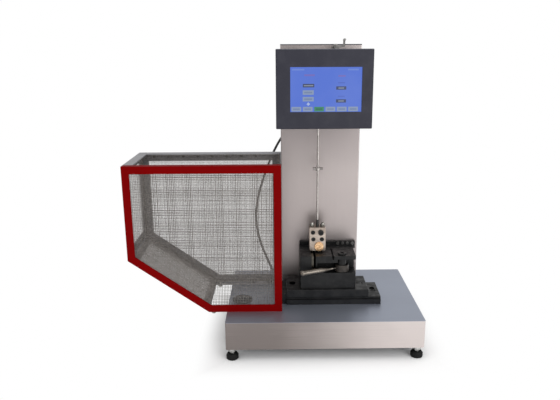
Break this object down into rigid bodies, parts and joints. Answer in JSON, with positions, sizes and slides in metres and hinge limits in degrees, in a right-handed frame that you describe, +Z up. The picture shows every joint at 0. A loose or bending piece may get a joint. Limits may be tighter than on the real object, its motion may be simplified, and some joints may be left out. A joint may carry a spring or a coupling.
{
  "type": "pendulum impact tester",
  "caption": "Bench pendulum impact tester: stainless base and column, touch display, swinging hammer, lever vice and a wire catch cage on levelling feet.",
  "frame": {"origin": "on the table, at the middle of the footprint of base and cage", "axes": "+Z up, +X to the right seen from the display, +Y away from the display; the pendulum swings in the XZ plane"},
  "size_m": [0.6323, 0.4043, 0.6658],
  "materials": {
    "base_steel": "brushed stainless sheet",
    "inner_steel": "plain machined or coated steel inside the housings",
    "dark_level": "black moulded case",
    "column_steel": "upright brushed stainless sheet",
    "screw_steel": "zinc plated",
    "dark_screw": "black oxide screws",
    "display_dark": "charcoal moulded panel",
    "screen": "lit touch panel",
    "bright_steel": "ground steel",
    "hammer_steel": "warm ground steel",
    "brass": "turned brass",
    "black_ferrule": "black",
    "catch_steel": "dark steel",
    "red_paint": "dark red paint",
    "grey_paint": "dark grey paint",
    "wire_mesh": "galvanised woven wire",
    "black_oxide": "black oxide, oiled",
    "grip_aluminium": "turned aluminium",
    "switch_plastic": "black plastic",
    "foot": "black pad on a zinc plated screw",
    "cord_rubber": "black flexible lead"
  },
  "bodies": {
    "frame": {"base_shell": "base_steel", "base_floor_plate": "inner_steel", "column_spine": "inner_steel", "power_supply": "inner_steel", "bearing_housing": "inner_steel", "angle_encoder": "inner_steel", "display_module": "inner_steel", "round_level": "dark_level", "column_shell": "column_steel", "column_top_cap": "column_steel", "column_back_cover": "column_steel", "bridge_arm": "column_steel", "cover_screws": "screw_steel", "cage_bolts": "screw_steel", "vice_bolts": "dark_screw", "cam_pivot_bolt": "dark_screw", "fixed_jaw_insert": "dark_screw", "display_housing": "display_dark", "display_bezel": "display_dark", "display_glass": "screen", "bearing_outer_rings": "bright_steel", "latch_bracket": "catch_steel", "cage_front_frame": "red_paint", "cage_back_frame": "grey_paint", "cage_cross_members": "grey_paint", "cage_mesh_front": "wire_mesh", "cage_mesh_back": "wire_mesh", "cage_mesh_sides": "wire_mesh", "vice_base_plate": "black_oxide", "vice_end_plate": "black_oxide", "vice_carrier_plate": "black_oxide", "vice_body": "black_oxide", "jaw_keeper_plate": "black_oxide", "switch_frame": "switch_plastic", "cord_gland": "cord_rubber", "mains_cord": "cord_rubber", "mains_coil": "cord_rubber", "mains_plug": "cord_rubber"},
    "pendulum": {"pendulum_hub": "bright_steel", "pendulum_rod": "bright_steel", "tuning_collar": "bright_steel", "rod_ferrule": "black_ferrule", "hammer_front_plate": "hammer_steel", "hammer_back_plate": "hammer_steel", "hammer_block": "hammer_steel", "striker_blade": "bright_steel", "hammer_bolts": "dark_screw", "brass_weight": "brass", "pivot_shaft": "bright_steel", "bearing_inner_rings": "bright_steel", "encoder_coupling": "inner_steel"},
    "release_catch": {"latch_lever": "catch_steel"},
    "vice_jaw": {"moving_jaw": "black_oxide"},
    "clamp_lever": {"cam_hub": "black_oxide", "lever_grip": "grip_aluminium"},
    "mains_switch": {"switch_rocker": "switch_plastic"},
    "foot_1": {"levelling_foot_1": "foot"},
    "foot_2": {"levelling_foot_2": "foot"},
    "foot_3": {"levelling_foot_3": "foot"},
    "foot_4": {"levelling_foot_4": "foot"}
  },
  "joints": [
    {"name": "pendulum_swing", "type": "hinge", "parent": "frame", "child": "pendulum", "pos_m": [0.094, -0.01, 0.556], "axis": [0, 1, 0], "range_deg": [-150, 150]},
    {"name": "catch_close", "type": "hinge", "parent": "frame", "child": "release_catch", "pos_m": [0.13, -0.0034, 0.649], "axis": [0, 1, 0], "range_deg": [0, 44.4]},
    {"name": "lever_turn", "type": "hinge", "parent": "frame", "child": "clamp_lever", "pos_m": [0.1485, -0.038, 0.168], "axis": [0, 0, 1], "range_deg": [0, 60]},
    {"name": "jaw_slide", "type": "slide", "parent": "frame", "child": "vice_jaw", "axis": [1, 0, 0], "range_m": [0, 0.0017]},
    {"name": "switch_tip", "type": "hinge", "parent": "frame", "child": "mains_switch", "pos_m": [0.136, 0.137, 0.47], "axis": [1, 0, 0], "range_deg": [-6, 6]},
    {"name": "foot_turn_1", "type": "hinge", "parent": "frame", "child": "foot_1", "pos_m": [-0.095, -0.137, 0.02], "axis": [0, 0, 1], "continuous": true},
    {"name": "foot_turn_2", "type": "hinge", "parent": "frame", "child": "foot_2", "pos_m": [0.303, -0.137, 0.02], "axis": [0, 0, 1], "continuous": true},
    {"name": "foot_turn_3", "type": "hinge", "parent": "frame", "child": "foot_3", "pos_m": [-0.095, 0.137, 0.02], "axis": [0, 0, 1], "continuous": true},
    {"name": "foot_turn_4", "type": "hinge", "parent": "frame", "child": "foot_4", "pos_m": [0.303, 0.137, 0.02], "axis": [0, 0, 1], "continuous": true}
  ],
  "couplings": [
    {"joint": "jaw_slide", "follows": "lever_turn", "m_per_rad": 0.001623}
  ]
}
